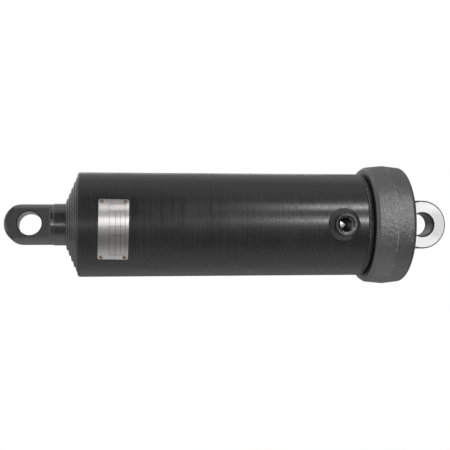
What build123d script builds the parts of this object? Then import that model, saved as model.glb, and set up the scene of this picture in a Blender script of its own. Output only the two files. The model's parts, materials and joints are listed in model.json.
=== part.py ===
from build123d import *
import os
from math import cos, radians, sin

# Telescopic tipping cylinder, closed: a barrel, four sleeves and a plunger on a cast base.
# Sizes are in millimetres. X runs along the cylinder, from the plunger eye to the base, Y runs
# along the pin of the base eye, and Z is up. The origin is the centre of that pin.

# Pin eyes
pin_bore = 40.0
base_eye_diameter = 84.6
base_eye_width = 45.0
base_eye_chamfer = 2.4
base_bore_chamfer = 1.9
plunger_eye_width = 48.0
plunger_bore_chamfer = 1.0
tang_end_offset = 7.7
tang_end_round = 6.0
eye_turn = 6.0

# Cast base
pin_to_cap = 33.1
cap_length = 72.1
cap_overhang = 14.65
cap_parting = 35.0
parting_land = 6.0
flash_width = 1.6
flash_height = 0.3
front_draft = 2.6
back_draft = 2.7
lip_chamfer = 4.0
lip_chamfer_length = 6.0
back_round_length = 10.7
back_round_height = 18.0
lug_fillet = 9.0
hub_length = 10.2
hub_proud = 2.0
hub_fillet = 2.0
spigot_length = 12.6
spigot_chamfer = 2.0
lug_root_depth = 30.0

# Plunger and its steps outwards to the barrel
plunger_diameter = 71.0
plunger_wall = 8.0
small_annulus = 3.0
small_wall = 5.5
annulus = 3.5
sleeve_wall = 6.0
barrel_annulus = 7.5
barrel_wall = 8.9

# Lengths along the cylinder
barrel_length = 485.6
gland_proud = 2.5
stage_proud = 4.0
shank_proud = 20.2
shoulder_to_pin = 40.3
shoulder_chamfer = 1.0
shoulder_length = 5.0
flat_fillet = 4.0
plunger_seam = 60.0
plunger_plug = 15.0
barrel_chamfer = 3.0
barrel_end_bevel = 0.8
tip_round = 3.0
gland_round = 2.0
foot_chamfer = 1.0

# Rings and their grooves in each head
wiper_width = 6.0
wiper_depth = 4.5
wiper_lip = 1.2
wiper_relief = 0.8
seal_width = 10.0
seal_depth = 5.0
seal_notch = 4.0
guide_width = 20.0
guide_depth = 2.5
head_land = 6.0
guide_slit = 3.0

# Rings on each foot
foot_ring_to_port = 7.7
foot_ring_width = 15.0
foot_ring_depth = 1.5
stop_ring_width = 6.0
stop_ring_depth = 1.8
ring_land = 4.0
ring_slit = 5.0
oil_slot_width = 12.0
oil_slot_depth = 8.0

# Retention of the gland
lock_ring_section = 3.0
lock_ring_place = 7.5
o_ring_section = 2.6
o_ring_play = 0.9
o_ring_place = 36.0

# Oil port
port_to_barrel_end = 43.2
port_boss_height = 16.0
port_thread_core = 24.2
port_seat_chamfer = 3.9
port_rim = 3.0
port_drill = 16.0
port_web = 1.5
port_weld_leg = 8.4
boss_edge = 1.0

# Welds
base_weld_to_cap = 3.8
base_weld_toe = 0.4
base_weld_crown = 4.0
plunger_weld_depth = 5.0
plunger_weld_width = 8.0

# Name plate and rivets
plate_to_tip = 34.7
plate_length = 49.3
plate_top_angle = 27.7
plate_bottom_angle = 39.9
plate_thickness = 1.0
plate_seat_gap = 0.05
plate_corner = 3.0
plate_lean = -1.2
rivet_inset_x = 5.7
rivet_inset_z = 3.3
rivet_shank = 3.0
rivet_depth = 5.0
rivet_head_diameter = 6.0
rivet_head_height = 1.6
rivet_head_round = 1.1

# Fits
running_gap = 0.05
metal_gap = 0.3
stop_gap = 0.4
floor_gap = 0.3
stroke_margin = 0.2
cutter_reach = 5.0

# Radii that follow from the steps, each stage growing out of the one inside it
STAGES = range(1, 5)
plunger_radius = plunger_diameter / 2
outer = {5: plunger_radius}
bore = {5: plunger_radius - plunger_wall}
outer[4] = outer[5] + small_annulus + small_wall
bore[4] = outer[5] + small_annulus
for n in (3, 2, 1):
    outer[n] = outer[n + 1] + annulus + sleeve_wall
    bore[n] = outer[n + 1] + annulus
bore[0] = outer[1] + barrel_annulus
barrel_radius = bore[0] + barrel_wall

# Places along X that follow from the lengths
cap_back = -pin_to_cap
cap_front = cap_back - cap_length
barrel_end = cap_front - hub_length
barrel_tip = barrel_end - barrel_length
floor = barrel_end - spigot_length
foot = floor - floor_gap
port_x = barrel_end - port_to_barrel_end
tip = {0: barrel_tip - gland_proud}
for n in STAGES:
    tip[n] = tip[n - 1] - stage_proud
shoulder = tip[4] - shank_proud
plunger_pin = shoulder - shoulder_to_pin
seam = shoulder + plunger_seam

# Head stations, measured inwards from each tip
seal_start = wiper_width + head_land
seal_end = seal_start + seal_width
guide_start = seal_end + head_land
guide_end = guide_start + guide_width
head_length = guide_end + head_land

# Foot stations, the same on every stage
foot_ring_end = port_x - port_drill / 2 - foot_ring_to_port
foot_ring_start = foot_ring_end - foot_ring_width
stop_ring_end = foot_ring_start - ring_land
stop_ring_start = stop_ring_end - stop_ring_width

# How far each stage slides out before its stop ring meets the head around it
stroke = {n: stop_ring_start - (tip[n - 1] + head_length) - stroke_margin for n in (*STAGES, 5)}
STAGE_NAME = {0: "gland", 1: "sleeve_1", 2: "sleeve_2", 3: "sleeve_3", 4: "sleeve_4", 5: "plunger"}

os.makedirs("parts", exist_ok=True)


def write(piece, name):
    """Name a finished piece and write it."""
    piece.part.label = name
    export_step(piece.part, f"parts/{name}.step")


def head_bore(n, end_x):
    """Inner outline of the head of stage n, from its mouth to end_x."""
    rod = outer[n + 1]
    face = tip[n]
    free = rod + metal_gap
    return [
        (face, rod + wiper_depth),
        (face + wiper_width, rod + wiper_depth),
        (face + wiper_width, free),
        (face + seal_start, free),
        (face + seal_start, rod + seal_depth),
        (face + seal_end, rod + seal_depth),
        (face + seal_end, free),
        (face + guide_start, free),
        (face + guide_start, rod + guide_depth),
        (face + guide_end, rod + guide_depth),
        (face + guide_end, free),
        (end_x, free),
    ]


def foot_grooves(radius):
    """Outer outline of a foot, from the end of the tube towards its tip, with both ring grooves."""
    return [
        (foot, radius - foot_chamfer),
        (foot - foot_chamfer, radius),
        (foot_ring_end, radius),
        (foot_ring_end, radius - foot_ring_depth),
        (foot_ring_start, radius - foot_ring_depth),
        (foot_ring_start, radius),
        (stop_ring_end, radius),
        (stop_ring_end, radius - stop_ring_depth),
        (stop_ring_start, radius - stop_ring_depth),
        (stop_ring_start, radius),
    ]


def mouth_edge(piece):
    """Outermost round edge at the tip of a piece."""
    circles = piece.edges().filter_by(GeomType.CIRCLE)
    return circles.group_by(Axis.X)[0].sort_by(SortBy.RADIUS)[-1]


def rivet_places():
    """Planes on the plate's face at its four rivets, each facing outwards."""
    lean = radians(plate_lean)
    places = []
    for along in (-1, 1):
        for up in (-1, 1):
            dx = along * (plate_length / 2 - rivet_inset_x)
            dz = up * (plate_height / 2 - rivet_inset_z)
            x = plate_x + dx * cos(lean) - dz * sin(lean)
            z = plate_z + dx * sin(lean) + dz * cos(lean)
            rise = z / plate_top
            depth = (1 - rise * rise) ** 0.5
            places.append(Plane(origin=(x, -plate_top * depth, z), x_dir=(1, 0, 0), z_dir=(0, -depth, rise)))
    return places


# Where the name plate lies on the front of the barrel

plate_low = -barrel_radius * sin(radians(plate_bottom_angle))
plate_high = barrel_radius * sin(radians(plate_top_angle))
plate_x = barrel_tip + plate_to_tip + plate_length / 2
plate_z = (plate_low + plate_high) / 2
plate_height = plate_high - plate_low
plate_seat = barrel_radius + plate_seat_gap
plate_top = plate_seat + plate_thickness
rivet_planes = rivet_places()

# Barrel tube, with the groove for the lock ring, the oil hole and blind holes for the rivets

with BuildPart() as barrel_tube:
    lock_start = tip[0] + lock_ring_place
    lock_end = lock_start + lock_ring_section
    lock_roof = bore[0] + lock_ring_section / 2
    with BuildSketch(Plane.XY):
        with BuildLine():
            Polyline(
                (barrel_tip, bore[0]),
                (lock_start, bore[0]),
                (lock_start, lock_roof),
                (lock_end, lock_roof),
                (lock_end, bore[0]),
                (barrel_end, bore[0]),
                (barrel_end, barrel_radius - barrel_end_bevel),
                (barrel_end - barrel_end_bevel, barrel_radius),
                (barrel_tip + barrel_chamfer, barrel_radius),
                (barrel_tip, barrel_radius - barrel_chamfer),
                close=True,
            )
        make_face()
    revolve(axis=Axis.X)
    with BuildSketch(Plane.XZ):
        with Locations((port_x, 0)):
            Circle(port_drill / 2)
    extrude(amount=barrel_radius + cutter_reach, mode=Mode.SUBTRACT)
    with Locations(*rivet_planes):
        Hole(rivet_shank / 2, depth=rivet_depth)

write(barrel_tube, "barrel_tube")

# Name plate, a curved sheet on the front of the barrel, and its four rivets

with BuildPart() as name_plate:
    with BuildSketch(Plane.XZ):
        with Locations((plate_x, plate_z)):
            RectangleRounded(plate_length, plate_height, plate_corner, rotation=plate_lean)
    extrude(amount=plate_top + cutter_reach)
    with BuildSketch(Plane.YZ.offset(plate_x - plate_length)):
        Circle(plate_top)
        Circle(plate_seat, mode=Mode.SUBTRACT)
    extrude(amount=2 * plate_length, mode=Mode.INTERSECT)
    with Locations(*rivet_planes):
        Hole(rivet_shank / 2, depth=rivet_depth)

with BuildPart() as plate_rivets:
    for plane in rivet_planes:
        with BuildSketch(plane):
            Circle(rivet_head_diameter / 2)
        extrude(amount=rivet_head_height)
        crown = plate_rivets.faces(Select.LAST).sort_by(Axis(plane.origin, plane.z_dir))[-1]
        fillet(crown.edges(), rivet_head_round)
        with BuildSketch(plane):
            Circle(rivet_shank / 2)
        extrude(amount=-rivet_depth)

write(name_plate, "name_plate")
write(plate_rivets, "plate_rivets")

# Cast base: lug with the pin eye, cap, hub and spigot in one piece

cap_radius = barrel_radius + cap_overhang
hub_radius = bore[0] + hub_proud
spigot_radius = bore[0] - running_gap
lip_radius = cap_radius - front_draft
back_radius = cap_radius - back_draft
eye_radius = base_eye_diameter / 2
back_round_x = cap_back - back_round_length
land_start = cap_front + cap_parting - parting_land / 2
land_end = land_start + parting_land
flash_start = land_end - 2 * flash_width

with BuildPart() as base_cap:
    lug_root = cap_back - lug_root_depth
    with BuildSketch(Plane.XZ):
        Circle(eye_radius)
        with Locations((lug_root / 2, 0)):
            Rectangle(-lug_root, base_eye_diameter)
    extrude(amount=base_eye_width / 2, both=True)
    rim = base_cap.edges().filter_by(
        lambda e: abs(abs(e.center().Y) - base_eye_width / 2) < 0.01 and e.center().X > lug_root + 0.01)
    chamfer(rim, base_eye_chamfer)
    with BuildSketch(Plane.XY):
        with BuildLine():
            Polyline(
                (cap_back, 0),
                (floor, 0),
                (floor, spigot_radius - spigot_chamfer),
                (floor + spigot_chamfer, spigot_radius),
                (barrel_end, spigot_radius),
                (barrel_end, hub_radius),
                (cap_front - hub_fillet, hub_radius),
            )
            RadiusArc((cap_front - hub_fillet, hub_radius), (cap_front, hub_radius + hub_fillet), -hub_fillet)
            Polyline(
                (cap_front, hub_radius + hub_fillet),
                (cap_front, lip_radius - lip_chamfer),
                (cap_front + lip_chamfer_length, lip_radius),
                (land_start, cap_radius),
                (flash_start, cap_radius),
                (flash_start + flash_width / 4, cap_radius + flash_height),
                (flash_start + 3 * flash_width / 4, cap_radius + flash_height),
                (flash_start + flash_width, cap_radius),
                (land_end, cap_radius),
                (back_round_x, back_radius),
            )
            EllipticalCenterArc(
                (back_round_x, back_radius - back_round_height),
                back_round_length,
                back_round_height,
                start_angle=0,
                arc_size=90,
            )
            Line((cap_back, back_radius - back_round_height), (cap_back, 0))
        make_face()
    revolve(axis=Axis.X)
    root = base_cap.edges().filter_by(GeomType.LINE).filter_by(
        lambda e: abs(e.center().X - cap_back) < 0.01)
    fillet(root, lug_fillet)
    for side in (-1, 1):
        eye_face = Plane(origin=(0, side * base_eye_width / 2, 0), x_dir=(1, 0, 0), z_dir=(0, side, 0))
        with Locations(eye_face):
            CounterSinkHole(
                pin_bore / 2,
                pin_bore / 2 + base_bore_chamfer,
                depth=base_eye_width,
                counter_sink_angle=90,
            )

write(base_cap, "base_cap")

# Ring of weld between the barrel and the base, with a rounded crown

with BuildPart() as base_weld:
    weld_end = cap_front - base_weld_to_cap
    weld_top = barrel_radius - base_weld_toe
    weld_toe = hub_radius + base_weld_crown
    with BuildSketch(Plane.XY):
        with BuildLine():
            Polyline(
                (weld_end, weld_toe),
                (weld_end, hub_radius),
                (barrel_end, hub_radius),
                (barrel_end, weld_top),
            )
            RadiusArc((barrel_end, weld_top), (weld_end, weld_toe), weld_end - barrel_end)
        make_face()
    revolve(axis=Axis.X)

write(base_weld, "base_weld")

# Threaded oil port on the front of the barrel. The thread stops at a web over the drilled tube.

seat_radius = port_thread_core / 2 + port_seat_chamfer
boss_radius = seat_radius + port_rim
boss_face_y = -(barrel_radius + port_boss_height)

with BuildPart() as port_boss:
    with BuildSketch(Plane.XZ):
        with Locations((port_x, 0)):
            Circle(boss_radius)
    extrude(amount=-boss_face_y)
    chamfer(port_boss.edges().group_by(Axis.Y)[0], boss_edge)
    with BuildSketch(Plane.YZ.offset(port_x - 2 * boss_radius)):
        Circle(barrel_radius)
    extrude(amount=4 * boss_radius, mode=Mode.SUBTRACT)
    with Locations(Plane(origin=(port_x, boss_face_y, 0), x_dir=(1, 0, 0), z_dir=(0, -1, 0))):
        CounterSinkHole(
            port_thread_core / 2,
            seat_radius,
            depth=port_boss_height - port_web,
            counter_sink_angle=90,
        )
        Hole(port_drill / 2, depth=port_boss_height + barrel_wall)

write(port_boss, "port_boss")

# Its fillet weld follows the saddle between the boss and the barrel

with BuildPart() as port_weld:
    reach = boss_radius + 2 * port_weld_leg
    with BuildSketch(Plane.YZ.offset(port_x - reach)):
        Circle(barrel_radius)
    extrude(amount=2 * reach)
    with BuildSketch(Plane.XZ):
        with Locations((port_x, 0)):
            Circle(boss_radius)
    extrude(amount=-boss_face_y)
    saddle = port_weld.edges().filter_by(
        lambda e: e.geom_type not in (GeomType.CIRCLE, GeomType.LINE))
    fillet(saddle, port_weld_leg)
    with BuildSketch(Plane.YZ.offset(port_x - reach)):
        Circle(barrel_radius)
    extrude(amount=2 * reach, mode=Mode.SUBTRACT)
    with BuildSketch(Plane.XZ):
        with Locations((port_x, 0)):
            Circle(boss_radius)
    extrude(amount=-boss_face_y + cutter_reach, mode=Mode.SUBTRACT)

write(port_weld, "port_weld")

# Gland: the guide insert in the mouth of the barrel

gland_radius = bore[0] - running_gap
gland_end = tip[0] + head_length
lock_floor = bore[0] - lock_ring_section / 2
o_ring_start = tip[0] + o_ring_place
o_ring_groove = o_ring_section + o_ring_play
o_ring_floor = gland_radius - o_ring_section

with BuildPart() as gland:
    with BuildSketch(Plane.XY):
        profile = head_bore(0, gland_end) + [
            (gland_end, gland_radius),
            (o_ring_start + o_ring_groove, gland_radius),
            (o_ring_start + o_ring_groove, o_ring_floor),
            (o_ring_start, o_ring_floor),
            (o_ring_start, gland_radius),
            (lock_end, gland_radius),
            (lock_end, lock_floor),
            (lock_start, lock_floor),
            (lock_start, gland_radius),
            (tip[0], gland_radius),
        ]
        with BuildLine():
            Polyline(*profile, close=True)
        make_face()
    revolve(axis=Axis.X)
    gland_lip = gland_radius - outer[1] - wiper_depth
    fillet(mouth_edge(gland), min(gland_round, 0.8 * gland_lip))

with BuildPart() as gland_lock_ring:
    with BuildSketch(Plane.YZ.offset(lock_start)):
        Circle(lock_roof)
        Circle(lock_floor, mode=Mode.SUBTRACT)
    extrude(amount=lock_ring_section)
    with Locations((lock_start, 0, bore[0])):
        Box(3 * lock_ring_section, ring_slit, 3 * lock_ring_section, mode=Mode.SUBTRACT)

with BuildPart() as gland_o_ring:
    with BuildSketch(Plane.XY):
        with Locations((o_ring_start + o_ring_groove / 2, o_ring_floor + o_ring_section / 2)):
            Circle(o_ring_section / 2)
    revolve(axis=Axis.X)

write(gland, "gland")
write(gland_lock_ring, "gland_lock_ring")
write(gland_o_ring, "gland_o_ring")

# Sleeves: each tube with its head in one piece

for n in STAGES:
    with BuildPart() as sleeve:
        with BuildSketch(Plane.XY):
            step_x = tip[n] + head_length
            profile = head_bore(n, step_x) + [(step_x, bore[n]), (foot, bore[n])]
            profile += foot_grooves(outer[n]) + [(tip[n], outer[n])]
            with BuildLine():
                Polyline(*profile, close=True)
            make_face()
        revolve(axis=Axis.X)
        lip_wall = outer[n] - outer[n + 1] - wiper_depth
        fillet(mouth_edge(sleeve), min(tip_round, 0.8 * lip_wall))
        with Locations((foot, 0, 0)):
            Box(2 * oil_slot_depth, 3 * outer[n], oil_slot_width, mode=Mode.SUBTRACT)
            Box(2 * oil_slot_depth, oil_slot_width, 3 * outer[n], mode=Mode.SUBTRACT)
    write(sleeve, STAGE_NAME[n])

# Rings in each head: wiper, lip seal and guide band around the next stage

for n in (0, *STAGES):
    rod = outer[n + 1] + running_gap
    groove = outer[n + 1]

    with BuildPart() as wiper:
        back = tip[n] + wiper_width
        front = tip[n] - wiper_lip
        with BuildSketch(Plane.XY):
            with BuildLine():
                Polyline(
                    (back, groove + wiper_depth),
                    (tip[n], groove + wiper_depth),
                    (tip[n], groove + wiper_depth / 2),
                    (front, rod + wiper_relief),
                    (front, rod),
                    (tip[n] + wiper_lip, rod + wiper_relief),
                    (back, rod + wiper_relief),
                    close=True,
                )
            make_face()
        revolve(axis=Axis.X)
    write(wiper, f"{STAGE_NAME[n]}_wiper")

    with BuildPart() as seal:
        front = tip[n] + seal_start
        back = tip[n] + seal_end
        middle = (rod + groove + seal_depth) / 2
        with BuildSketch(Plane.XY):
            with BuildLine():
                Polyline(
                    (front, groove + metal_gap),
                    (front, groove + seal_depth),
                    (back, groove + seal_depth),
                    (back, middle + seal_depth / 4),
                    (back - seal_notch, middle),
                    (back, middle - seal_depth / 4),
                    (back, rod),
                    close=True,
                )
            make_face()
        revolve(axis=Axis.X)
    write(seal, f"{STAGE_NAME[n]}_seal")

    with BuildPart() as guide_ring:
        with BuildSketch(Plane.YZ.offset(tip[n] + guide_start)):
            Circle(groove + guide_depth)
            Circle(rod, mode=Mode.SUBTRACT)
        extrude(amount=guide_width)
        with Locations((tip[n] + guide_start, 0, groove)):
            Box(3 * guide_width, guide_slit, 6 * guide_depth, mode=Mode.SUBTRACT)
    write(guide_ring, f"{STAGE_NAME[n]}_guide_ring")

# Rings on each foot: a split guide ring and a split stop ring in the outer grooves

for n in (*STAGES, 5):
    wall_reach = bore[n - 1] - outer[n] + foot_ring_depth

    with BuildPart() as foot_ring:
        with BuildSketch(Plane.YZ.offset(foot_ring_start)):
            Circle(bore[n - 1] - running_gap)
            Circle(outer[n] - foot_ring_depth, mode=Mode.SUBTRACT)
        extrude(amount=foot_ring_width)
        with Locations((foot_ring_start, 0, outer[n])):
            Box(3 * foot_ring_width, ring_slit, 3 * wall_reach, mode=Mode.SUBTRACT)
    write(foot_ring, f"{STAGE_NAME[n]}_foot_ring")

    with BuildPart() as stop_ring:
        with BuildSketch(Plane.YZ.offset(stop_ring_start)):
            Circle(bore[n - 1] - stop_gap)
            Circle(outer[n] - stop_ring_depth, mode=Mode.SUBTRACT)
        extrude(amount=stop_ring_width)
        with Locations((stop_ring_start, 0, -outer[n])):
            Box(3 * stop_ring_width, ring_slit, 3 * wall_reach, mode=Mode.SUBTRACT)
    write(stop_ring, f"{STAGE_NAME[n]}_stop_ring")

# Plunger tube, open at its foot

with BuildPart() as plunger_tube:
    groove_end = seam + plunger_weld_width / 2
    with BuildSketch(Plane.XY):
        with BuildLine():
            Polyline(
                (seam, bore[5]),
                (foot, bore[5]),
                *foot_grooves(plunger_radius),
                (groove_end, plunger_radius),
                (seam, plunger_radius - plunger_weld_depth),
                close=True,
            )
        make_face()
    revolve(axis=Axis.X)
    with Locations((foot, 0, 0)):
        Box(2 * oil_slot_depth, 3 * plunger_radius, oil_slot_width, mode=Mode.SUBTRACT)
        Box(2 * oil_slot_depth, oil_slot_width, 3 * plunger_radius, mode=Mode.SUBTRACT)

write(plunger_tube, "plunger_tube")

# Ground weld between the plunger tube and its eye

with BuildPart() as plunger_weld:
    half_width = plunger_weld_width / 2
    with BuildSketch(Plane.XY):
        with BuildLine():
            Polyline(
                (seam - half_width, plunger_radius),
                (seam, plunger_radius - plunger_weld_depth),
                (seam + half_width, plunger_radius),
                close=True,
            )
        make_face()
    revolve(axis=Axis.X)

write(plunger_weld, "plunger_weld")

# Plunger eye: turned shank, tang with milled flats, pin bore

tang_radius = plunger_radius - shoulder_chamfer
tang_start = shoulder - shoulder_length
tang_arc_x = plunger_pin - tang_end_offset
tang_tip = tang_arc_x - tang_radius
flat = plunger_eye_width / 2
turn = radians(eye_turn)
eye_plane = Plane(origin=(0, 0, 0), x_dir=(1, 0, 0), z_dir=(0, -cos(turn), sin(turn)))
side_plane = Plane(origin=(0, 0, 0), x_dir=(1, 0, 0), z_dir=-eye_plane.y_dir)

plan_half = plunger_radius + cutter_reach
plan_end = seam + plunger_plug + cutter_reach
root_x = tang_start - flat_fillet

with BuildPart() as eye_stock:
    with BuildSketch(eye_plane):
        with Locations((tang_arc_x, 0)):
            Circle(tang_radius)
        with Locations(((tang_arc_x + root_x) / 2, 0)):
            Rectangle(root_x - tang_arc_x, 2 * tang_radius)
    extrude(amount=flat, both=True)
    tang_rim = eye_stock.edges().filter_by(
        lambda e: abs(e.center().dot(eye_plane.z_dir)) > flat - 0.01 and e.center().X < root_x - 0.01)
    fillet(tang_rim, tang_end_round)
    with BuildSketch(eye_plane):
        with Locations(((root_x + plan_end) / 2, 0)):
            Rectangle(plan_end - root_x, 2 * plan_half)
    extrude(amount=plan_half, both=True)

with BuildPart() as plunger_eye:
    half_width = plunger_weld_width / 2
    plug_radius = bore[5] - running_gap
    with BuildSketch(Plane.XY):
        with BuildLine():
            Polyline(
                (tang_tip - cutter_reach, 0),
                (tang_tip - cutter_reach, tang_radius),
                (shoulder - shoulder_chamfer, tang_radius),
                (shoulder, plunger_radius),
                (seam - half_width, plunger_radius),
                (seam, plunger_radius - plunger_weld_depth),
                (seam, plug_radius),
                (seam + plunger_plug, plug_radius),
                (seam + plunger_plug, 0),
                close=True,
            )
        make_face()
    revolve(axis=Axis.X)
    add(eye_stock.part, mode=Mode.INTERSECT)
    mill_end = tang_tip - cutter_reach
    with BuildSketch(side_plane):
        for side in (-1, 1):
            with BuildLine():
                Polyline(
                    (tang_start, side * (flat + flat_fillet)),
                    (tang_start, side * plan_half),
                    (mill_end, side * plan_half),
                    (mill_end, side * flat),
                    (root_x, side * flat),
                )
                TangentArc((root_x, side * flat), (tang_start, side * (flat + flat_fillet)), tangent=(1, 0))
            make_face()
    extrude(amount=plan_half, both=True, mode=Mode.SUBTRACT)
    for side in (-1, 1):
        bore_origin = Vector(plunger_pin, 0, 0) + eye_plane.z_dir * (side * flat)
        with Locations(Plane(origin=bore_origin, x_dir=(1, 0, 0), z_dir=eye_plane.z_dir * side)):
            CounterSinkHole(
                pin_bore / 2,
                pin_bore / 2 + plunger_bore_chamfer,
                depth=plunger_eye_width,
                counter_sink_angle=90,
            )

write(plunger_eye, "plunger_eye")

for n, travel in stroke.items():
    print(f"{STAGE_NAME[n]} slides {travel:.1f} mm")
print(f"pin to pin {-plunger_pin:.1f} mm, overall {eye_radius - tang_tip:.1f} mm")
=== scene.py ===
import json
from math import ceil, cos, pi, radians, sin, sqrt

import bpy
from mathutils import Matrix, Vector, noise


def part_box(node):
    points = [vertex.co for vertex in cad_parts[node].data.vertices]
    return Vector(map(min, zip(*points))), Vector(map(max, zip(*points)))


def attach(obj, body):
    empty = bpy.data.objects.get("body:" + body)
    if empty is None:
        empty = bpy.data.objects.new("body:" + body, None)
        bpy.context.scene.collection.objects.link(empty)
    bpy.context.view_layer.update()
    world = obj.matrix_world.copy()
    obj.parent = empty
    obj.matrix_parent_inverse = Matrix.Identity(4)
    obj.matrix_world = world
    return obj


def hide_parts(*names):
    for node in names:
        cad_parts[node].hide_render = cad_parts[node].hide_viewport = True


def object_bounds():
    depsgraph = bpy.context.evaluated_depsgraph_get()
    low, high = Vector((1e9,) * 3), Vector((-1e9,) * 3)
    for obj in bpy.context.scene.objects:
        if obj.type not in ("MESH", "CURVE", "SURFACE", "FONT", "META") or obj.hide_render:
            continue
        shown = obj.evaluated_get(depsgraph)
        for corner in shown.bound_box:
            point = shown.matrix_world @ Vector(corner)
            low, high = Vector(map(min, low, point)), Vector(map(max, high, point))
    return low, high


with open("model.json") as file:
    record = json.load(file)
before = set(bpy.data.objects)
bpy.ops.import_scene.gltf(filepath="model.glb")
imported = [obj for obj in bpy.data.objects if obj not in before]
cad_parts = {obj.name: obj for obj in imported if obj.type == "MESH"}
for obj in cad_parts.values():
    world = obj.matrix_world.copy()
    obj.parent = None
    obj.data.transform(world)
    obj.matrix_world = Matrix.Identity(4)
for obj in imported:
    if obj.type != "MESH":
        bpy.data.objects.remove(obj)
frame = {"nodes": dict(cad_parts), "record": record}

# Lengths are in metres, in the frame of the CAD model. X runs along the cylinder from the plunger eye to
# the pin of the base eye, which is at 0. Y runs away from the photograph's camera, and Z is up.

cad_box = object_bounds()

# Places read from the frame

barrel_low, barrel_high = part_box("barrel_tube")
BARREL_RADIUS = barrel_high.z
BARREL_TIP = barrel_low.x
weld_low, weld_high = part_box("base_weld")
boss_low, boss_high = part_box("port_boss")
port_weld_low, port_weld_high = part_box("port_weld")
plate_low, plate_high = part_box("name_plate")
PORT_X = (boss_low.x + boss_high.x) / 2
BOSS_RADIUS = (boss_high.x - boss_low.x) / 2
BOSS_FACE = boss_low.y
MOUNTS = {m["name"]: m for m in frame["record"]["mounts"]}
PORT_CORE = MOUNTS["oil_port"]["dims"]["r_mm"] / 1000
PORT_WALL = MOUNTS["oil_port"]["dims"]["length_mm"] / 1000
PIN_RADIUS = MOUNTS["base_eye"]["dims"]["r_mm"] / 1000
PIN_LENGTH = MOUNTS["base_eye"]["dims"]["length_mm"] / 1000
PLUNGER_PIN_X = MOUNTS["plunger_eye"]["pos_m"][0]
STAGES = ("sleeve_1", "sleeve_2", "sleeve_3", "sleeve_4")
TIP_X = {n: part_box(n)[0].x for n in ("gland", *STAGES)}


# Sizes of the solids that the frame doesn't tell

# Plunger eye: half its width along the pin, its turn about the cylinder, and both ends of its shoulder
PLUNGER_EYE_HALF = 0.024
PLUNGER_EYE_TURN = radians(6.0)
SHOULDER_X = -0.6397
TANG_ROOT_X = -0.6447

# Base eye: chamfer of its bore, and distance from the middle and radius of its machined faces
BASE_BORE_CHAMFER = 0.0019
FACED_Y = PIN_LENGTH / 2 + BASE_BORE_CHAMFER
FACED_RADIUS = 0.0400

# Cap: its back face, its front face, and the edge of the flash on its parting line
CAP_BACK_X = -0.0331
CAP_FRONT_X = weld_high.x + 0.0038
FLASH_X = -0.0704

# Port: the seat above its thread
PORT_SEAT_CHAMFER = 0.0039
PORT_SEAT_RADIUS = PORT_CORE + PORT_SEAT_CHAMFER


# Camera: fitted to the outlines of the photograph

FOCAL_PX = 921.1
FRAME_PX = 450
SENSOR = 36.0
CAMERA_PLACE = Vector((-0.559, -1.5863, -0.0007))
CAMERA_YAW = radians(7.57)


def make_camera():
    data = bpy.data.cameras.new("camera")
    data.sensor_width = SENSOR
    data.lens = SENSOR * FOCAL_PX / FRAME_PX
    data.clip_start = 0.05
    data.clip_end = 60
    camera = bpy.data.objects.new("camera", data)
    camera.location = CAMERA_PLACE
    camera.rotation_euler = (pi / 2, 0, -CAMERA_YAW)
    bpy.context.scene.collection.objects.link(camera)
    bpy.context.scene.camera = camera


# Node building


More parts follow.
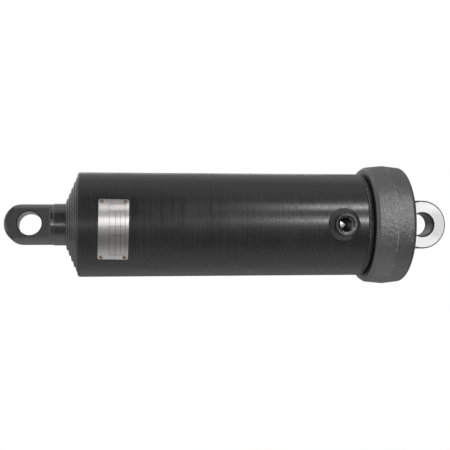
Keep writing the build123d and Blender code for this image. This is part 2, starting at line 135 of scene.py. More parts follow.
class Nodes:
    """Adds nodes to one node tree. An input is a number, a tuple or another node's output.

    A mask is 1 on one part of the surface and 0 on the rest.
    """

    def __init__(self, tree):
        self.tree = tree

    def add(self, kind, inputs=None, output=0, **settings):
        made = self.tree.nodes.new(kind)
        for name, value in settings.items():
            setattr(made, name, value)
        for key, value in (inputs or {}).items():
            if isinstance(value, bpy.types.NodeSocket):
                self.tree.links.new(value, made.inputs[key])
            else:
                made.inputs[key].default_value = value
        return made.outputs[output]

    def place(self):
        """A point of the surface, in metres in its own body."""
        return self.add("ShaderNodeTexCoord", output="Object")

    def split(self, vector):
        made = self.tree.nodes.new("ShaderNodeSeparateXYZ")
        self.tree.links.new(vector, made.inputs[0])
        return tuple(made.outputs)

    def scaled(self, vector, factors):
        return self.add("ShaderNodeVectorMath", {0: vector, 1: factors}, operation="MULTIPLY")

    def math(self, operation, a, b=0.0, c=0.0):
        return self.add("ShaderNodeMath", {0: a, 1: b, 2: c}, operation=operation)

    def plus(self, a, b):
        return self.math("ADD", a, b)

    def minus(self, a, b):
        return self.math("SUBTRACT", a, b)

    def times(self, *factors):
        """Product. Of masks, it is 1 where all of them are."""
        product = factors[0]
        for factor in factors[1:]:
            product = self.math("MULTIPLY", product, factor)
        return product

    def largest(self, *values):
        """Largest value. Of masks, it is 1 where any of them is."""
        found = values[0]
        for value in values[1:]:
            found = self.math("MAXIMUM", found, value)
        return found

    def weigh(self, a, weight_a, b, weight_b):
        """a and b added up, each times its weight."""
        return self.plus(self.times(a, weight_a), self.times(b, weight_b))

    def size(self, value):
        """value without its sign."""
        return self.math("ABSOLUTE", value)

    def distance(self, a, b):
        """Distance of the point a, b from 0, 0."""
        squares = self.plus(self.math("POWER", a, 2.0), self.math("POWER", b, 2.0))
        return self.math("SQRT", squares)

    def below(self, value, limit):
        return self.math("LESS_THAN", value, limit)

    def above(self, value, limit):
        return self.math("GREATER_THAN", value, limit)

    def between(self, value, low, high):
        return self.math("COMPARE", value, (low + high) / 2, (high - low) / 2)

    def outside(self, mask):
        return self.minus(1.0, mask)

    def span(self, value, low, high, to_low=0.0, to_high=1.0):
        """value from low..high carried to to_low..to_high, and held at the ends."""
        return self.add("ShaderNodeMapRange", {0: value, 1: low, 2: high, 3: to_low, 4: to_high})

    def vary(self, pattern, low=0.0, high=1.0):
        """A noise pattern, whose values lie mostly between 0.3 and 0.7, carried to low..high."""
        return self.span(pattern, 0.3, 0.7, low, high)

    def noise(self, vector, scale, detail=2.0, roughness=0.5):
        return self.add("ShaderNodeTexNoise", {
            "Vector": vector, "Scale": scale, "Detail": detail, "Roughness": roughness,
        })

    def cells(self, vector, scale):
        return self.add("ShaderNodeTexVoronoi", {"Vector": vector, "Scale": scale})

    def mix(self, share, a, b):
        """Colour between a and b."""
        return self.add("ShaderNodeMix", {0: share, 6: a, 7: b}, output=2, data_type="RGBA")

    def blend(self, share, a, b):
        """Number between a and b."""
        return self.add("ShaderNodeMix", {0: share, 2: a, 3: b}, data_type="FLOAT")

    def bump(self, height, distance, strength=1.0):
        return self.add("ShaderNodeBump", {"Height": height, "Distance": distance, "Strength": strength})


def grey(value, warmth=0.0):
    return (value * (1 + warmth), value, value * (1 - warmth), 1)


def new_material(name, **constants):
    """A material with a Principled shader. constants are the sockets that are the same all over."""
    material = bpy.data.materials.new(name)
    material.use_nodes = True
    tree = material.node_tree
    shader = tree.nodes["Principled BSDF"]
    for key, value in constants.items():
        shader.inputs[key.replace("_", " ")].default_value = value
    return material, Nodes(tree), shader


def connect(nodes, shader, **sockets):
    for key, value in sockets.items():
        nodes.tree.links.new(value, shader.inputs[key.replace("_", " ")])


# Materials

# The darkest and the lightest grey of each coat or metal
BARREL_SHADES = (0.012, 0.020)
STAGE_SHADES = (0.008, 0.014)
WELD_SHADES = (0.020, 0.034)
BOSS_SHADES = (0.016, 0.028)
CAST_SHADES = (0.008, 0.060)
# The base eye's machined faces are not metal: their light grey is a painted reflection of bright steel.
MACHINED_SHADES = (0.68, 0.78)
GROUND_SHADES = (0.40, 0.50)
BASE_BORE_SHADES = (0.16, 0.26)
PORT_STEEL_SHADES = (0.12, 0.85)
PLATE_SHADES = (0.50, 0.68)
SPRING_SHADES = (0.25, 0.42)

# Greys of marks on them, and of painted highlights and painted shade
CHIPPED = 0.45
SHOULDER_HIGHLIGHT = 0.60
EYE_BORE = 0.62
EYE_EDGE = 0.003
FLASH_HIGHLIGHT = 0.17
FLASH_SHADOW = 0.004
WELD_SHADE_AND_RIM_BLACK = 0.008
FAR_END_GREY = 0.50
ROOT_SHADE = 0.03
BORE_SHADE = 0.02
PORT_LEFT_SHADE = 0.02
PORT_DEPTH_SHADE = 0.015
RULED = 0.06

# The cap behind its parting line is darker by this factor, and the bloom on rubber paler
REAR_FACTOR = 0.72
BLOOM_FACTOR = 1.8

RIVET_STEEL = (0.30, 0.26, 0.22, 1)
RUST = (0.12, 0.045, 0.018, 1)
SEAL_BLACK = (0.02, 0.02, 0.022, 1)
WIPER_BLACK = (0.03, 0.03, 0.03, 1)
GUIDE_BROWN = (0.10, 0.045, 0.02, 1)

# Distances by which masks reach past the surface they cover, or stay clear of the next one
HAIR = 0.0001
FACE_SLACK = 0.00015
EDGE_SLACK = 0.0004

# Relief of sprayed paint and ground steel
FINE_RELIEF = 0.00003


def rings(nodes, place, per_metre):
    """Fine marks that run round the cylinder, as a lathe or a honing stone leaves them."""
    stretched = nodes.scaled(place, (per_metre, 4.0, 4.0))
    return nodes.noise(stretched, scale=1.0, detail=3.0, roughness=0.65)


def paint_layers(nodes, place, shades):
    """Colour, roughness and height of sprayed black paint over turned steel."""
    dark, light = shades
    blotches = nodes.noise(place, scale=14.0, detail=4.0, roughness=0.6)
    grain = nodes.noise(place, scale=420.0, roughness=0.6)
    marks = rings(nodes, place, 260.0)
    tone = nodes.weigh(blotches, 0.6, marks, 0.4)
    color = nodes.mix(nodes.span(tone, 0.35, 0.65), grey(dark, warmth=-0.01), grey(light))
    rough = nodes.plus(nodes.vary(blotches, 0.23, 0.31), nodes.vary(marks, -0.04, 0.05))
    height = nodes.weigh(marks, 0.7, grain, 0.3)
    return color, rough, height


def barrel_paint():
    material, nodes, shader = new_material("barrel_paint", IOR=1.5)
    color, rough, height = paint_layers(nodes, nodes.place(), BARREL_SHADES)
    connect(nodes, shader, Base_Color=color, Roughness=rough, Normal=nodes.bump(height, FINE_RELIEF))
    return material


# The black edge round the plunger's bore: its width on the face, and its depth into the bore
BLACK_EDGE = 0.0013
BLACK_EDGE_DEPTH = 0.0014

# Half the height of the painted highlight on the plunger's shoulder, where it ends and where it is in full
SHOULDER_HIGHLIGHT_END = 0.0065
SHOULDER_HIGHLIGHT_FULL = 0.0030


def eye_finish(nodes, point, pin_x, color, rough):
    """Colour, roughness and metal of the plunger eye: bare bore with a black edge, painted highlight on
    shoulder.
    """
    x, y, z = point
    along_pin = nodes.weigh(y, -cos(PLUNGER_EYE_TURN), z, sin(PLUNGER_EYE_TURN))
    across = nodes.weigh(y, sin(PLUNGER_EYE_TURN), z, cos(PLUNGER_EYE_TURN))
    from_middle = nodes.size(along_pin)
    from_pin = nodes.distance(nodes.minus(x, pin_x), across)
    edge = nodes.times(
        nodes.below(from_pin, PIN_RADIUS + BLACK_EDGE),
        nodes.above(from_middle, PLUNGER_EYE_HALF - BLACK_EDGE_DEPTH),
    )
    bored = nodes.times(nodes.below(from_pin, PIN_RADIUS + HAIR), nodes.outside(edge))
    shoulder = nodes.times(
        nodes.between(x, TANG_ROOT_X, SHOULDER_X),
        nodes.above(from_middle, PLUNGER_EYE_HALF + HAIR),
    )
    # Painted highlight: lighter, partly metal grey in the middle of the shoulder's height.
    shoulder_highlight = nodes.times(shoulder, nodes.span(nodes.size(across), SHOULDER_HIGHLIGHT_END, SHOULDER_HIGHLIGHT_FULL, 0.0, 0.20))
    color = nodes.mix(bored, color, grey(EYE_BORE))
    color = nodes.mix(edge, color, grey(EYE_EDGE))
    color = nodes.mix(shoulder_highlight, color, grey(SHOULDER_HIGHLIGHT))
    rough = nodes.blend(nodes.largest(edge, bored), rough, 0.5)
    rough = nodes.blend(shoulder, nodes.times(rough, 0.85), 0.17)
    return color, rough, nodes.largest(edge, bored, shoulder_highlight)


# Distances from a stage's tip up to which the wear is in full, and at which it ends
TIP_WEAR_FULL = 0.0008
TIP_WEAR_END = 0.0016


def tip_finish(nodes, place, x, tip_x, color):
    """Colour and metal of a stage whose paint is worn off the corners near its tip."""
    chips = nodes.vary(nodes.noise(place, scale=160.0, detail=3.0, roughness=0.6), 0.05, 0.35)
    near_tip = nodes.span(nodes.minus(x, tip_x), TIP_WEAR_FULL, TIP_WEAR_END, 1.0, 0.0)
    worn = nodes.times(chips, near_tip)
    return nodes.mix(worn, color, grey(CHIPPED)), worn


# Distances past the painted part of a stage at which the paint starts to end and has ended, and how
# ragged that border is
PAINT_END = (0.0003, 0.0009)
PAINT_RAGGED = 0.0005


def stage_finish(name, edge_x, pin_x=None, tip_x=None):
    """Thin black paint where a stage stands out when closed, ground steel where it slides.

    edge_x is the border between them. pin_x is the place of the pin in a stage that ends in an eye,
    and tip_x the end of a stage whose tip is worn.
    """
    material, nodes, shader = new_material(name, IOR=2.0)
    place = nodes.place()
    x, y, z = nodes.split(place)
    color, rough, height = paint_layers(nodes, place, STAGE_SHADES)
    rough = nodes.times(rough, 0.9)
    metal = 0.0
    if pin_x is not None:
        color, rough, metal = eye_finish(nodes, (x, y, z), pin_x, color, rough)
    elif tip_x is not None:
        color, metal = tip_finish(nodes, place, x, tip_x, color)
    ragged = nodes.vary(nodes.noise(place, scale=260.0, detail=3.0), -PAINT_RAGGED, PAINT_RAGGED)
    bare = nodes.span(nodes.plus(nodes.minus(x, edge_x), ragged), *PAINT_END)
    dark, light = GROUND_SHADES
    steel = nodes.mix(
        nodes.vary(nodes.noise(place, scale=9.0, detail=3.0)), grey(dark, warmth=0.01), grey(light))
    steel_rough = nodes.vary(rings(nodes, place, 900.0), 0.16, 0.26)
    connect(
        nodes, shader,
        Base_Color=nodes.mix(bare, color, steel),
        Metallic=nodes.largest(bare, metal),
        Roughness=nodes.blend(bare, rough, steel_rough),
        Normal=nodes.bump(nodes.blend(bare, height, 0.5), FINE_RELIEF),
    )
    return material


def cast_skin(nodes, place, shades):
    """Colour, roughness and height of a sand casting under a thin coat of grey-black paint."""
    dark, light = shades
    grain = nodes.noise(place, scale=480.0, detail=3.0, roughness=0.7)
    pits = nodes.cells(place, 330.0)
    clouds = nodes.noise(place, scale=30.0, detail=3.0, roughness=0.6)
    lumps = nodes.noise(place, scale=90.0)
    tone = nodes.weigh(grain, 0.75, clouds, 0.25)
    color = nodes.mix(nodes.span(tone, 0.36, 0.64), grey(dark), grey(light))
    rough = nodes.vary(grain, 0.34, 0.46)
    height = nodes.plus(nodes.plus(grain, nodes.times(lumps, 1.4)), nodes.times(pits, 0.5))
    return color, rough, height


# Width of the painted highlight along the flash on the parting line and of the painted shadow behind it,
# and length over which the cap turns darker there
FLASH_WIDTH = 0.0016
REAR_FADE = 0.004

# The darker patch in the painted reflection on the base eye's faces, near their end, in X and in height on
# either side of the pin, from where it begins to where it is in full
FAR_END_X = (0.010, 0.020)
FAR_END_HEIGHT = (0.030, 0.018)

# X where the painted shade on the root of the lug is darkest, and where it ends at the height of the pin
ROOT_SHADE_FULL_X = -0.0245
ROOT_SHADE_END_X = -0.0205

# Depths in the base eye's bore between which the painted shade near its ends thins out, and how ragged
# that border is
BORE_SHADE_DEPTH = (0.004, 0.009)
BORE_SHADE_RAGGED = 0.004

# How far the painted shade in the crevice round the ring weld reaches out on the cap's front, past the
# barrel
WELD_SHADE_REACH = 0.0028


def flash_mask(nodes, place, x, start, end, sparse):
    """Patches along the parting line of the casting, from start to end past FLASH_X: painted highlight and
    shadow.
    """
    patches = nodes.noise(place, scale=55.0, detail=3.0, roughness=0.7)
    band = nodes.between(x, FLASH_X + start, FLASH_X + end)
    return nodes.times(band, nodes.span(patches, sparse, sparse + 0.06))


def machined_face(nodes, x, z, sweep):
    """Colour of the base eye's faces: painted reflection, darker at the far end, painted shade at the
    root.
    """
    dark, light = MACHINED_SHADES
    # Light grey that paints in the reflection of bright machined steel, darker near the far end.
    color = nodes.mix(nodes.vary(sweep), grey(dark), grey(light))
    far_end = nodes.times(nodes.span(x, *FAR_END_X), nodes.span(nodes.size(z), *FAR_END_HEIGHT))
    color = nodes.mix(far_end, color, grey(FAR_END_GREY))
    # Painted shade at the root of the lug, reaching further out towards the bottom.
    slant = nodes.largest(nodes.times(z, -0.10), nodes.times(z, -0.25))
    painted_shade = nodes.span(x, ROOT_SHADE_FULL_X, nodes.plus(slant, ROOT_SHADE_END_X), 0.92, 0.0)
    return nodes.mix(painted_shade, color, grey(ROOT_SHADE))


def base_bore(nodes, place, from_middle, sweep):
    """Colour of the base eye's bore, with painted shade near its ends."""
    dark, light = BASE_BORE_SHADES
    color = nodes.mix(nodes.span(sweep, 0.35, 0.65), grey(dark), grey(light))
    depth = nodes.minus(FACED_Y, from_middle)
    ragged = nodes.times(nodes.noise(place, scale=60.0, detail=3.0), BORE_SHADE_RAGGED)
    # Painted shade in the bore near its ends, with a ragged border.
    painted_shade = nodes.span(nodes.minus(depth, ragged), *BORE_SHADE_DEPTH, 1.0, 0.0)
    return nodes.mix(painted_shade, color, grey(BORE_SHADE))


def cast_paint():
    """The base: cast skin, machined eye faces and bore, black bore chamfer, and painted shade by the ring
    weld.
    """
    material, nodes, shader = new_material("cast_paint", IOR=2.1)
    place = nodes.place()
    x, y, z = nodes.split(place)
    from_middle = nodes.size(y)
    from_pin = nodes.distance(x, z)
    faced = nodes.times(
        nodes.above(from_middle, FACED_Y - FACE_SLACK),
        nodes.below(from_pin, FACED_RADIUS),
        nodes.above(x, CAP_BACK_X + EDGE_SLACK),
    )
    bored = nodes.below(from_pin, PIN_RADIUS + HAIR)
    rim = nodes.below(from_pin, PIN_RADIUS + BASE_BORE_CHAMFER + EDGE_SLACK)
    machined = nodes.largest(nodes.times(faced, nodes.outside(rim)), bored)
    # Painted shade, black, in the crevice between the ring weld and the cap's front face.
    weld_crevice_shade = nodes.times(
        nodes.below(x, CAP_FRONT_X + EDGE_SLACK),
        nodes.below(nodes.distance(y, z), BARREL_RADIUS + WELD_SHADE_REACH),
    )

    skin, rough, height = cast_skin(nodes, place, CAST_SHADES)
    # Painted highlight along the flash, and painted shadow just behind it.
    flash_highlight = flash_mask(nodes, place, x, 0.0, FLASH_WIDTH, sparse=0.50)
    skin = nodes.mix(flash_highlight, skin, grey(FLASH_HIGHLIGHT))
    flash_shadow = flash_mask(nodes, place, x, FLASH_WIDTH, 2 * FLASH_WIDTH, sparse=0.42)
    skin = nodes.mix(flash_shadow, skin, grey(FLASH_SHADOW))
    rear = nodes.mix(nodes.span(x, FLASH_X, FLASH_X + REAR_FADE), grey(1.0), grey(REAR_FACTOR))
    skin = nodes.scaled(skin, rear)
    # Black for the painted shade by the weld, and for the bore's chamfer.
    skin = nodes.mix(nodes.largest(weld_crevice_shade, rim), skin, grey(WELD_SHADE_AND_RIM_BLACK))

    sweep = nodes.noise(place, scale=38.0, detail=3.0, roughness=0.6)
    arcs = nodes.noise(nodes.scaled(place, (900.0, 3.0, 90.0)), scale=1.0)
    face = machined_face(nodes, x, z, sweep)
    bore = base_bore(nodes, place, from_middle, sweep)
    connect(
        nodes, shader,
        Base_Color=nodes.mix(machined, skin, nodes.mix(bored, face, bore)),
        Metallic=nodes.times(bored, 0.5),
        Roughness=nodes.blend(machined, rough, nodes.vary(arcs, 0.42, 0.55)),
        Normal=nodes.bump(nodes.blend(machined, height, nodes.times(arcs, 0.03)), 0.0008, 0.9),
    )
    return material


def weld_paint():
    material, nodes, shader = new_material("weld_paint", IOR=1.5)
    place = nodes.place()
    color, rough, _ = paint_layers(nodes, place, WELD_SHADES)
    spatter = nodes.times(nodes.cells(place, 700.0), 0.5)
    connect(nodes, shader, Base_Color=color, Roughness=rough, Normal=nodes.bump(spatter, 0.0002))
    return material


# Inside the port the steel has painted shade: darker towards its left edge, and black from some depth on.
# That depth is larger towards its right edge. The edges are spans of X from the port's axis, the depths
# are under the boss's face, and the black comes in over the fade.
PORT_LEFT_EDGE = (-0.008, -0.004)
PORT_RIGHT_EDGE = (0.003, 0.008)
PORT_BLACK_DEPTH = (0.0045, 0.0120)
PORT_BLACK_FADE = 0.004


def port_finish():
    """Painted boss, with bare machined steel in its seat and thread, and painted shade inside it."""
    material, nodes, shader = new_material("port_finish", IOR=1.5)
    place = nodes.place()
    x, y, z = nodes.split(place)
    across = nodes.minus(x, PORT_X)
    depth = nodes.minus(y, BOSS_FACE)
    color, rough, height = paint_layers(nodes, place, BOSS_SHADES)
    inside = nodes.below(nodes.distance(across, z), PORT_SEAT_RADIUS - HAIR)
    flecks = nodes.noise(place, scale=900.0, roughness=0.6)
    bare = nodes.times(inside, nodes.span(flecks, 0.38, 0.46))
    stains = nodes.noise(place, scale=700.0, detail=3.0)
    dark, light = PORT_STEEL_SHADES
    steel = nodes.mix(nodes.span(stains, 0.4, 0.6), grey(dark), grey(light))
    # Painted shade: darker towards the port's left edge, and black from some depth on.
    unshaded = nodes.span(across, *PORT_LEFT_EDGE, 0.45, 1.0)
    steel = nodes.mix(unshaded, grey(PORT_LEFT_SHADE), steel)
    black_at = nodes.blend(nodes.span(across, *PORT_RIGHT_EDGE), *PORT_BLACK_DEPTH)
    black = nodes.span(nodes.minus(depth, black_at), 0.0, PORT_BLACK_FADE)
    steel = nodes.mix(black, steel, grey(PORT_DEPTH_SHADE))
    connect(
        nodes, shader,
        Base_Color=nodes.mix(bare, color, steel),
        Metallic=bare,
        Roughness=nodes.blend(bare, rough, 0.3),
        Normal=nodes.bump(nodes.blend(bare, height, flecks), 0.00008),
    )
    return material


# Lines ruled on the name plate. Each is (place, start, end), in shares of the plate from its centre.
RULED_UPRIGHTS = ((-0.13, -0.42, 0.42), (0.07, -0.42, 0.30), (0.22, -0.42, 0.30), (0.37, -0.42, 0.42))
RULED_LEVELS = tuple((at, -0.13, 0.37) for at in (-0.42, -0.10, 0.05, 0.30, 0.42))
UPRIGHT_HALF = 0.006
LEVEL_HALF = UPRIGHT_HALF / 2


def plate_finish():
    """Brushed stainless sheet, ruled into empty boxes."""
    material, nodes, shader = new_material(
        "plate_finish", Metallic=1.0, Anisotropic=0.8, Anisotropic_Rotation=0.25)
    place = nodes.place()
    x, _, z = nodes.split(place)
    brush = nodes.noise(nodes.scaled(place, (1400.0, 12.0, 12.0)), scale=1.0, detail=3.0, roughness=0.7)
    clouds = nodes.noise(place, scale=60.0, detail=3.0)
    tone = nodes.span(nodes.weigh(brush, 0.7, clouds, 0.3), 0.35, 0.65)
    dark, light = PLATE_SHADES
    steel = nodes.mix(tone, grey(dark, warmth=0.03), grey(light, warmth=0.02))
    ruled = ruled_lines(nodes, x, z)
    connect(
        nodes, shader,
        Base_Color=nodes.mix(nodes.times(ruled, 0.85), steel, grey(RULED)),
        Roughness=nodes.blend(ruled, nodes.vary(brush, 0.30, 0.42), 0.6),
        Normal=nodes.bump(brush, 0.00002),
        Tangent=nodes.add("ShaderNodeTangent", direction_type="RADIAL", axis="X"),
    )
    return material


def ruled_lines(nodes, x, z):
    """Mask of thin lines that divide the plate into empty boxes."""
    width = plate_high.x - plate_low.x
    height = plate_high.z - plate_low.z
    u = nodes.math("DIVIDE", nodes.minus(x, (plate_low.x + plate_high.x) / 2), width)
    v = nodes.math("DIVIDE", nodes.minus(z, (plate_low.z + plate_high.z) / 2), height)
    masks = []
    for across, along, half, lines in (
        (u, v, UPRIGHT_HALF, RULED_UPRIGHTS),
        (v, u, LEVEL_HALF, RULED_LEVELS),
    ):
        for at, start, end in lines:
            near = nodes.below(nodes.size(nodes.minus(across, at)), half)
            masks.append(nodes.times(near, nodes.between(along, start, end)))
    return nodes.largest(*masks)


def rivet_finish():
    material, nodes, shader = new_material("rivet_finish", IOR=1.5)
    rust = nodes.span(nodes.noise(nodes.place(), scale=700.0, detail=3.0, roughness=0.7), 0.42, 0.58)
    connect(
        nodes, shader,
        Base_Color=nodes.mix(rust, RIVET_STEEL, RUST),
        Metallic=nodes.outside(rust),
        Roughness=nodes.blend(rust, 0.35, 0.8),
        Normal=nodes.bump(rust, 0.0001),
    )
    return material


def rubber(name, color):
    """Rubber or polymer with a paler bloom on it."""
    material, nodes, shader = new_material(name, IOR=1.5)
    place = nodes.place()
    bloom = nodes.noise(place, scale=80.0, detail=4.0, roughness=0.6)
    pale = (*(BLOOM_FACTOR * channel for channel in color[0:3]), 1)
    connect(
        nodes, shader,
        Base_Color=nodes.mix(nodes.vary(bloom), color, pale),
        Roughness=nodes.vary(bloom, 0.45, 0.65),
        Normal=nodes.bump(nodes.noise(place, scale=900.0), 0.00004),
    )
    return material


def bare_steel(name, shades):
    dark, light = shades
    material, nodes, shader = new_material(name, Metallic=1.0)
    place = nodes.place()
    marks = rings(nodes, place, 700.0)
    stain = nodes.noise(place, scale=45.0, detail=4.0, roughness=0.6)
    connect(
        nodes, shader,
        Base_Color=nodes.mix(nodes.vary(stain), grey(dark, warmth=0.03), grey(light)),
        Roughness=nodes.vary(marks, 0.22, 0.36),
        Normal=nodes.bump(marks, 0.00005),
    )
    return material


# Mesh building


def grid_mesh(name, rows):
    """Quads over rows of points. The rows are closed, and the last row joins the first."""
    points = [p for row in rows for p in row]
    across = len(rows[0])
    faces = []
    for i in range(len(rows)):
        below = i * across
        above = (i + 1) % len(rows) * across
        for j in range(across):
            k = (j + 1) % across
            faces.append((below + j, below + k, above + k, above + j))
    mesh = bpy.data.meshes.new(name)
    mesh.from_pydata(points, [], faces)
    mesh.polygons.foreach_set("use_smooth", [True] * len(mesh.polygons))
    mesh.update()
    made = bpy.data.objects.new(name, mesh)
    bpy.context.scene.collection.objects.link(made)
    return made


def wander(a, b=0.0, c=0.0):
    """Smooth unevenness between about -1 and 1, the same on every run."""
    return noise.noise(Vector((a, b, c)))


def ripple(pace):
    """Height of a weld's ripples, from 0 in a groove to 1 on a crest. pace counts the ripples."""
    return abs(sin(pi * pace)) ** 0.8


def round_port(radius, angle, y):
    """Point at a radius and an angle round the axis of the port."""
    return (PORT_X + radius * cos(angle), y, radius * sin(angle))


def on_barrel(z):
    """Y of the barrel's front surface at height z."""
    return -sqrt(BARREL_RADIUS ** 2 - z * z)


# Ring weld between barrel and cap: two passes that start at the front, so its ripples lean both ways.
# The sinks are how far its start, end and root lie under the barrel's surface. The larger WELD_DROP is,
# the later the bead drops to its end. The last number of a wander call tells one pattern from another.

WELD_STEPS = 1500
WELD_ACROSS = 16
WELD_START_SINK = 0.0006
WELD_END_SINK = 0.0036
WELD_ROOT_SINK = 0.0070
WELD_CREST = 0.0012
WELD_DROP = 8
RIPPLE_PITCH = 0.0078
RIPPLE_SLANT = 0.0095
RIPPLE_HEIGHT = 0.0011
RIPPLE_MIDDLE = 0.6
WELD_LUMPS = 0.00035


def make_base_weld():
    """Bead on which t runs from 0 on the barrel to 1 on the cap. It fades to smooth toes on both."""
    start_x = weld_low.x
    end_x = weld_high.x
    start_radius = BARREL_RADIUS - WELD_START_SINK
    end_radius = BARREL_RADIUS - WELD_END_SINK
    root_radius = BARREL_RADIUS - WELD_ROOT_SINK
    rows = []
    for i in range(WELD_STEPS):
        angle = 2 * pi * i / WELD_STEPS
        from_front = abs((angle + pi) % (2 * pi) - pi)
        row = []
        for j in range(WELD_ACROSS + 1):
            t = j / WELD_ACROSS
            along = from_front * BARREL_RADIUS - RIPPLE_SLANT * t
            waves = ripple(along / RIPPLE_PITCH + 0.25 * wander(along * 40, 3.0))
            bulge = sin(pi * min(1, t * 1.05)) * WELD_CREST
            fade = min(1, 6 * t) * min(1, 4 * (1 - t))
            lump = WELD_LUMPS * wander(30 * angle / pi, 5 * t, 7.0)
            radius = start_radius + (end_radius - start_radius) * t ** WELD_DROP + bulge
            radius += fade * (RIPPLE_HEIGHT * (waves - RIPPLE_MIDDLE) + lump)
            x = start_x + (end_x - start_x) * t
            row.append((x, -radius * cos(angle), radius * sin(angle)))
        for x in (end_x, start_x):
            row.append((x, -root_radius * cos(angle), root_radius * sin(angle)))
        rows.append(row)
    weld = grid_mesh("base_weld_bead", rows)
    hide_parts("base_weld")
    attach(weld, "barrel")
    return weld


# Fillet weld round the port boss, laid in one pass that starts at the left with a lump. What lifts its
# surface goes by LIFT_SHARE away from the port's axis, and by as much away from the barrel.

PORT_WELD_STEPS = 420
PORT_WELD_ACROSS = 14
PORT_WELD_BOW = 0.0006
PORT_RIPPLE_PITCH = 0.0040
PORT_RIPPLE_HEIGHT = 0.00035
PORT_WELD_LUMPS = 0.0003
START_ANGLE = radians(172)
START_SPREAD = 0.28
START_LUMP = 0.0014
LIFT_SHARE = 0.7


def make_port_weld():
    """Bead on which t runs from 0 at its toe on the barrel to 1 on the boss."""
    toe_radius = (port_weld_high.x - port_weld_low.x) / 2
    leg = toe_radius - BOSS_RADIUS
    rows = []
    for i in range(PORT_WELD_STEPS):
        angle = 2 * pi * i / PORT_WELD_STEPS
        row = []
        after_start = (angle - START_ANGLE + pi) % (2 * pi) - pi
        start = START_LUMP * max(0.0, 1 - (after_start / START_SPREAD) ** 2)
        for j in range(PORT_WELD_ACROSS + 1):
            t = j / PORT_WELD_ACROSS
            bow = sin(pi * t)
            pace = angle * toe_radius / PORT_RIPPLE_PITCH + 0.8 * bow + 0.3 * wander(6 * angle, 2.0)
            waves = PORT_RIPPLE_HEIGHT * (ripple(pace) - 0.5)
            lift = bow * (PORT_WELD_BOW + start + waves + PORT_WELD_LUMPS * wander(9 * angle, 4 * t))
            radius = toe_radius - leg * t + LIFT_SHARE * lift
            height = leg * t ** 1.25 + LIFT_SHARE * lift
            row.append(round_port(radius, angle, on_barrel(radius * sin(angle)) - height))
        row.append(round_port(BOSS_RADIUS, angle, on_barrel(BOSS_RADIUS * sin(angle))))
        rows.append(row)
    weld = grid_mesh("port_weld_bead", rows)
    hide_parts("port_weld")
    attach(weld, "barrel")
    return weld


# Port boss with its pipe thread. The breaks are the small steps that round its edges.

THREAD_PITCH = 0.001814
THREAD_DEPTH = 0.0011
THREAD_FLANK = 2.7
THREAD_STEPS = 10
BOSS_SIDES = 128
BOSS_EDGE = 0.001
EDGE_BREAK = 0.0003
FACE_BREAK = 0.0002
SEAT_BREAK = 0.00015
PORT_DRILL = 0.008


def thread_radius(depth, turn):
    """Wall of the thread at a depth under the seat, at a share of a turn."""
    phase = (depth / THREAD_PITCH + turn) % 1
    cut = min(1.0, THREAD_FLANK * (0.5 - abs(phase - 0.5)))
    runout = min(1.0, max(0.0, (PORT_WALL - depth) / THREAD_PITCH))
    return PORT_CORE + THREAD_DEPTH * cut * runout


def make_port_boss():
    """Boss, seat, thread and drilled hole: one profile that goes round the port's axis."""
    rows_down = ceil(PORT_WALL / THREAD_PITCH * THREAD_STEPS)
    thread_top = BOSS_FACE + PORT_SEAT_CHAMFER
    edge_y = BOSS_FACE + BOSS_EDGE
    face_radius = BOSS_RADIUS - BOSS_EDGE
    rows = []
    for i in range(BOSS_SIDES):
        turn = i / BOSS_SIDES
        angle = 2 * pi * turn
        profile = [
            (BOSS_RADIUS, on_barrel(BOSS_RADIUS * sin(angle))),
            (BOSS_RADIUS, edge_y + EDGE_BREAK),
            (BOSS_RADIUS - EDGE_BREAK, edge_y - EDGE_BREAK),
            (face_radius + FACE_BREAK, BOSS_FACE + FACE_BREAK),
            (face_radius - EDGE_BREAK, BOSS_FACE),
            (PORT_SEAT_RADIUS + EDGE_BREAK, BOSS_FACE),
            (PORT_SEAT_RADIUS, BOSS_FACE + SEAT_BREAK),
        ]
        for j in range(rows_down + 1):
            depth = PORT_WALL * j / rows_down
            profile.append((thread_radius(depth, turn), thread_top + depth))
        profile.append((PORT_DRILL, thread_top + PORT_WALL))
        profile.append((PORT_DRILL, on_barrel(PORT_DRILL * sin(angle))))
        rows.append([round_port(radius, angle, y) for radius, y in profile])
    boss = grid_mesh("port_boss_threaded", rows)
    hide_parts("port_boss")
    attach(boss, "barrel")
    return boss


# Lights. The two strips on the right draw the highlights along the barrel.

LIGHT_TARGET = Vector((-0.25, 0, 0))


def area_light(name, place, size_x, size_y, radiance):
    data = bpy.data.lights.new(name, "AREA")
    data.shape = "RECTANGLE"
    data.size = size_x
    data.size_y = size_y
    data.energy = radiance * pi * size_x * size_y
    light = bpy.data.objects.new(name, data)
    light.location = place
    light.rotation_euler = (LIGHT_TARGET - Vector(place)).to_track_quat("-Z", "Y").to_euler()
    light.visible_camera = False
    bpy.context.scene.collection.objects.link(light)


def make_lights():
    area_light("strip_high", (0.65, -1.53, 1.33), size_x=0.9, size_y=0.16, radiance=30.0)
    area_light("strip_low", (0.65, -2.0, 0.35), size_x=0.9, size_y=0.18, radiance=30.0)
    area_light("strip_left", (-0.77, -2.0, 0.01), size_x=0.24, size_y=0.20, radiance=5.0)
    area_light("overhead", (-0.4, -0.3, 2.2), size_x=2.2, size_y=1.4, radiance=0.36)
    area_light("back", (-0.5, 2.0, 0.9), size_x=1.8, size_y=0.6, radiance=0.8)


# World. Surfaces without gloss get WORLD_FILL from all round.

WORLD_FILL = 0.42

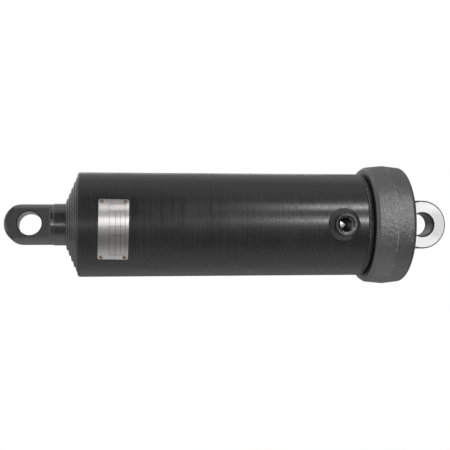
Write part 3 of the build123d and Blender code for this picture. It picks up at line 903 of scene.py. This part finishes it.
# Brightness of the studio as gloss sees it: (angle, on the left, on the right). The angle is in degrees
# round the cylinder's axis: 0 is level in front of the object, 90 straight up, and 180 level behind it.
STUDIO = (
    (-180, 0.20, 0.20), (-152, 0.26, 0.26), (-129, 0.56, 0.56), (-97, 0.66, 0.66), (-73, 0.64, 0.64),
    (-60, 0.50, 0.50), (-50, 0.30, 0.30), (-40, 0.20, 0.20), (-24, 0.20, 0.20), (-14, 0.28, 0.36),
    (-5, 0.38, 0.70), (10, 0.38, 0.70), (20, 0.18, 0.46), (66, 0.10, 0.34), (80, 0.12, 0.36),
    (96, 0.28, 0.48), (116, 0.58, 0.68), (135, 0.58, 0.62), (155, 0.28, 0.28), (180, 0.20, 0.20),
)

# Patches of the studio, each from where it begins to where it is in full, by the direction to it:
# the change from left to right, a glow behind on the left, a window on the left with paler wall above
# it, and the dark right end
LEFT_TO_RIGHT = (0.04, 0.30)
BACK_GLOW_X = (-0.10, -0.20)
BACK_GLOW_Y = (0.0, 0.2)
BACK_GLOW_Z = (-0.04, 0.02)
BACK_GLOW = 0.8
WINDOW_X = (-0.40, -0.65)
WINDOW_Z = (0.24, 0.10)
WALL_Z = (-0.10, 0.15)
WALL_SHARE = 0.45
RIGHT_END_X = (0.45, 0.75)
RIGHT_END = 0.12


def brightness_ramp(nodes, turn, stops):
    made = nodes.tree.nodes.new("ShaderNodeValToRGB")
    elements = made.color_ramp.elements
    while len(elements) < len(stops):
        elements.new(0.5)
    for element, (degree, value) in zip(elements, stops):
        element.position = degree / 360 + 0.5
        element.color = grey(value)
    nodes.tree.links.new(turn, made.inputs[0])
    return made.outputs[0]


def make_world():
    """White where the camera looks.

    Gloss sees the studio, which is pale above and below and darker beside the camera.
    """
    world = bpy.data.worlds.new("studio")
    bpy.context.scene.world = world
    world.use_nodes = True
    tree = world.node_tree
    nodes = Nodes(tree)
    x, y, z = nodes.split(nodes.add("ShaderNodeTexCoord", output="Generated"))
    angle = nodes.math("ARCTAN2", z, nodes.times(y, -1.0))
    turn = nodes.math("MULTIPLY_ADD", angle, 0.5 / pi, 0.5)
    studio = nodes.mix(
        nodes.span(x, *LEFT_TO_RIGHT),
        brightness_ramp(nodes, turn, [(degree, left) for degree, left, _ in STUDIO]),
        brightness_ramp(nodes, turn, [(degree, right) for degree, _, right in STUDIO]),
    )
    back_glow = nodes.times(
        nodes.span(x, *BACK_GLOW_X), nodes.span(z, *BACK_GLOW_Z), nodes.span(y, *BACK_GLOW_Y))
    studio = nodes.mix(back_glow, studio, grey(BACK_GLOW))
    left_end = nodes.span(x, *WINDOW_X)
    window = nodes.times(left_end, nodes.span(nodes.size(z), *WINDOW_Z))
    studio = nodes.mix(window, studio, grey(1.0))
    wall = nodes.times(left_end, nodes.span(z, *WALL_Z, 0.0, WALL_SHARE))
    studio = nodes.mix(wall, studio, grey(1.0))
    studio = nodes.mix(nodes.span(x, *RIGHT_END_X), studio, grey(RIGHT_END))
    rays = tree.nodes.new("ShaderNodeLightPath")
    seen = nodes.largest(rays.outputs["Is Camera Ray"], rays.outputs["Is Transmission Ray"])
    color = nodes.mix(rays.outputs["Is Glossy Ray"], grey(WORLD_FILL), studio)
    tree.links.new(nodes.mix(seen, color, grey(1.0)), tree.nodes["Background"].inputs["Color"])


# Floor

FLOOR_DROP = 0.35
FLOOR_HALF = 30.0
# Share of the floor's glow that the camera sees in its painted shadow, and distances over which that
# shadow fades
FLOOR_GLOW = 0.75
PAINTED_SHADOW_NEAR = 0.02
PAINTED_SHADOW_FAR = 0.26


def make_floor():
    """Plain white floor. The camera sees it nearly lit in full, with a soft shadow, partly painted."""
    level = cad_box[0].z - FLOOR_DROP
    mesh = bpy.data.meshes.new("floor")
    corners = [(x * FLOOR_HALF, y * FLOOR_HALF, level) for x, y in ((-1, -1), (1, -1), (1, 1), (-1, 1))]
    mesh.from_pydata(corners, [], [(0, 1, 2, 3)])
    plane = bpy.data.objects.new("floor", mesh)
    bpy.context.scene.collection.objects.link(plane)
    plane.visible_glossy = False
    material, nodes, shader = new_material(
        "floor", Base_Color=grey(0.95), Roughness=1.0, Specular_IOR_Level=0.0)
    x, y, _ = nodes.split(nodes.place())
    # The painted shadow lies along the cylinder, from the base eye's pin to as far beyond the middle.
    middle = (cad_box[0].x + cad_box[1].x) / 2
    beyond_ends = nodes.minus(nodes.size(nodes.minus(x, middle)), abs(middle))
    away = nodes.distance(y, nodes.largest(beyond_ends, 0.0))
    share = nodes.span(away, PAINTED_SHADOW_NEAR, PAINTED_SHADOW_FAR, FLOOR_GLOW, 1.0)
    tree = nodes.tree
    glow = tree.nodes.new("ShaderNodeEmission")
    glow.inputs["Color"].default_value = grey(1.0)
    glow.inputs["Strength"].default_value = 1.0
    rays = tree.nodes.new("ShaderNodeLightPath")
    blend = tree.nodes.new("ShaderNodeMixShader")
    tree.links.new(nodes.times(rays.outputs["Is Camera Ray"], share), blend.inputs[0])
    tree.links.new(shader.outputs[0], blend.inputs[1])
    tree.links.new(glow.outputs[0], blend.inputs[2])
    tree.links.new(blend.outputs[0], tree.nodes["Material Output"].inputs["Surface"])
    mesh.materials.append(material)


# Assembly

# How far into the barrel the gland is painted
GLAND_PAINTED = 0.0005


def dress(node, material):
    slots = frame["nodes"][node].data.materials
    slots.clear()
    slots.append(material)


def main():
    make_camera()
    make_world()
    make_floor()
    make_lights()

    dress("barrel_tube", barrel_paint())
    weld = weld_paint()
    dress("gland", stage_finish("gland_finish", BARREL_TIP + GLAND_PAINTED, tip_x=TIP_X["gland"]))
    dress("base_cap", cast_paint())
    for stage, outside in zip(STAGES, ("gland", *STAGES)):
        dress(stage, stage_finish(f"{stage}_finish", TIP_X[outside], tip_x=TIP_X[stage]))
    plunger = stage_finish("plunger_finish", TIP_X["sleeve_4"])
    for node in ("plunger_tube", "plunger_weld"):
        dress(node, plunger)
    dress("plunger_eye", stage_finish("plunger_eye_finish", TIP_X["sleeve_4"], pin_x=PLUNGER_PIN_X))
    dress("name_plate", plate_finish())
    dress("plate_rivets", rivet_finish())

    small_pieces = (
        (("_seal", "_o_ring"), rubber("seal_rubber", SEAL_BLACK)),
        (("_wiper",), rubber("wiper_rubber", WIPER_BLACK)),
        (("_guide_ring", "_foot_ring"), rubber("guide_polymer", GUIDE_BROWN)),
        (("_stop_ring", "_lock_ring"), bare_steel("spring_steel", SPRING_SHADES)),
    )
    for node in frame["nodes"]:
        for endings, finish in small_pieces:
            if node.endswith(endings):
                dress(node, finish)

    make_base_weld().data.materials.append(weld)
    make_port_weld().data.materials.append(weld)
    make_port_boss().data.materials.append(port_finish())


main()
bpy.context.scene.view_settings.view_transform = "Standard"
